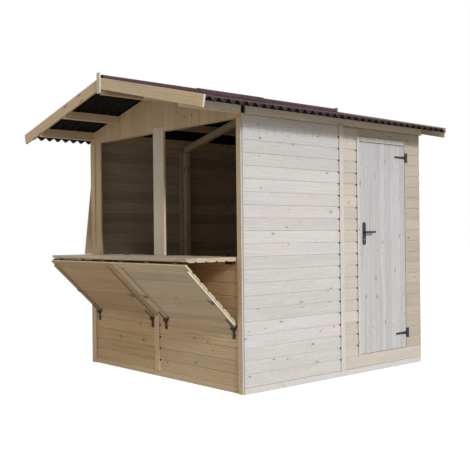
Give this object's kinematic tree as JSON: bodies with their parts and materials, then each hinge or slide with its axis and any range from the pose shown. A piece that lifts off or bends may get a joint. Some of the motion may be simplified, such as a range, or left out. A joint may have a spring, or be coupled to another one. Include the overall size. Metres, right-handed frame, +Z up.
{
  "type": "market stall",
  "caption": "Wooden market stall hut with a gabled corrugated roof, a plank door in its side and folding serving counters across its front.",
  "frame": {"origin": "on the ground under the middle of the roof", "axes": "+X towards the side wall with the door, +Y towards the rear, +Z up"},
  "size_m": [3.023, 3.217, 2.8179],
  "materials": {
    "cladding": "matte",
    "door_boards": "matte",
    "frame_timber": "matte",
    "roof_sheet": "matte",
    "black_steel": "satin"
  },
  "bodies": {
    "stall": {"base_rails_across": "frame_timber", "base_rails_along": "frame_timber", "cover_battens": "frame_timber", "door_hinge_plates": "black_steel", "eave_fascias": "frame_timber", "finials": "frame_timber", "floor_deck": "frame_timber", "floor_joists": "frame_timber", "front_barge_boards": "frame_timber", "front_fittings": "black_steel", "front_gable": "cladding", "front_header": "frame_timber", "front_posts": "frame_timber", "front_sill": "frame_timber", "front_wall_left": "cladding", "front_wall_right": "cladding", "left_cheek": "frame_timber", "left_wall_front": "cladding", "left_wall_rear": "cladding", "middle_posts": "frame_timber", "middle_rafters": "frame_timber", "purlins": "frame_timber", "rear_barge_boards": "frame_timber", "rear_gable": "cladding", "rear_wall_left": "cladding", "rear_wall_right": "cladding", "ridge_caps": "roof_sheet", "right_wall_front": "cladding", "right_wall_hinge_side": "cladding", "right_wall_lock_side": "cladding", "right_wall_over_door": "cladding", "right_wall_under_door": "cladding", "roof_sheets_left": "roof_sheet", "roof_sheets_right": "roof_sheet", "top_plates": "frame_timber", "wall_studs": "frame_timber"},
    "door_leaf": {"door": "door_boards", "door_hinge_straps": "black_steel", "door_handle_plates": "black_steel"},
    "lever": {"door_lever": "black_steel"},
    "left_counter": {"counter_left": "frame_timber", "counter_left_fittings": "black_steel"},
    "right_counter": {"counter_right": "frame_timber", "counter_right_fittings": "black_steel"},
    "left_prop": {"prop_left": "frame_timber", "prop_left_fittings": "black_steel"},
    "right_prop": {"prop_right": "frame_timber", "prop_right_fittings": "black_steel"}
  },
  "joints": [
    {"name": "door_hinge", "type": "hinge", "parent": "stall", "child": "door_leaf", "pos_m": [1.237, 1.247, 1.2], "axis": [0, 0, 1], "range_deg": [0, 110]},
    {"name": "lever_turn", "type": "hinge", "parent": "door_leaf", "child": "lever", "pos_m": [1.23, 0.5935, 1.356], "axis": [-1, 0, 0], "range_deg": [0, 45], "stiffness_Nm_per_rad": 0.8},
    {"name": "left_counter_lift", "type": "hinge", "parent": "stall", "child": "left_counter", "pos_m": [-0.54, -0.9715, 1.16], "axis": [-1, 0, 0], "range_deg": [0, 90]},
    {"name": "left_prop_fold", "type": "hinge", "parent": "left_counter", "child": "left_prop", "pos_m": [-0.54, -1.5005, 1.115], "axis": [-1, 0, 0], "range_deg": [0, 136]},
    {"name": "right_counter_lift", "type": "hinge", "parent": "stall", "child": "right_counter", "pos_m": [0.585, -0.9715, 1.16], "axis": [-1, 0, 0], "range_deg": [0, 90]},
    {"name": "right_prop_fold", "type": "hinge", "parent": "right_counter", "child": "right_prop", "pos_m": [0.585, -1.5005, 1.115], "axis": [-1, 0, 0], "range_deg": [0, 136]}
  ]
}
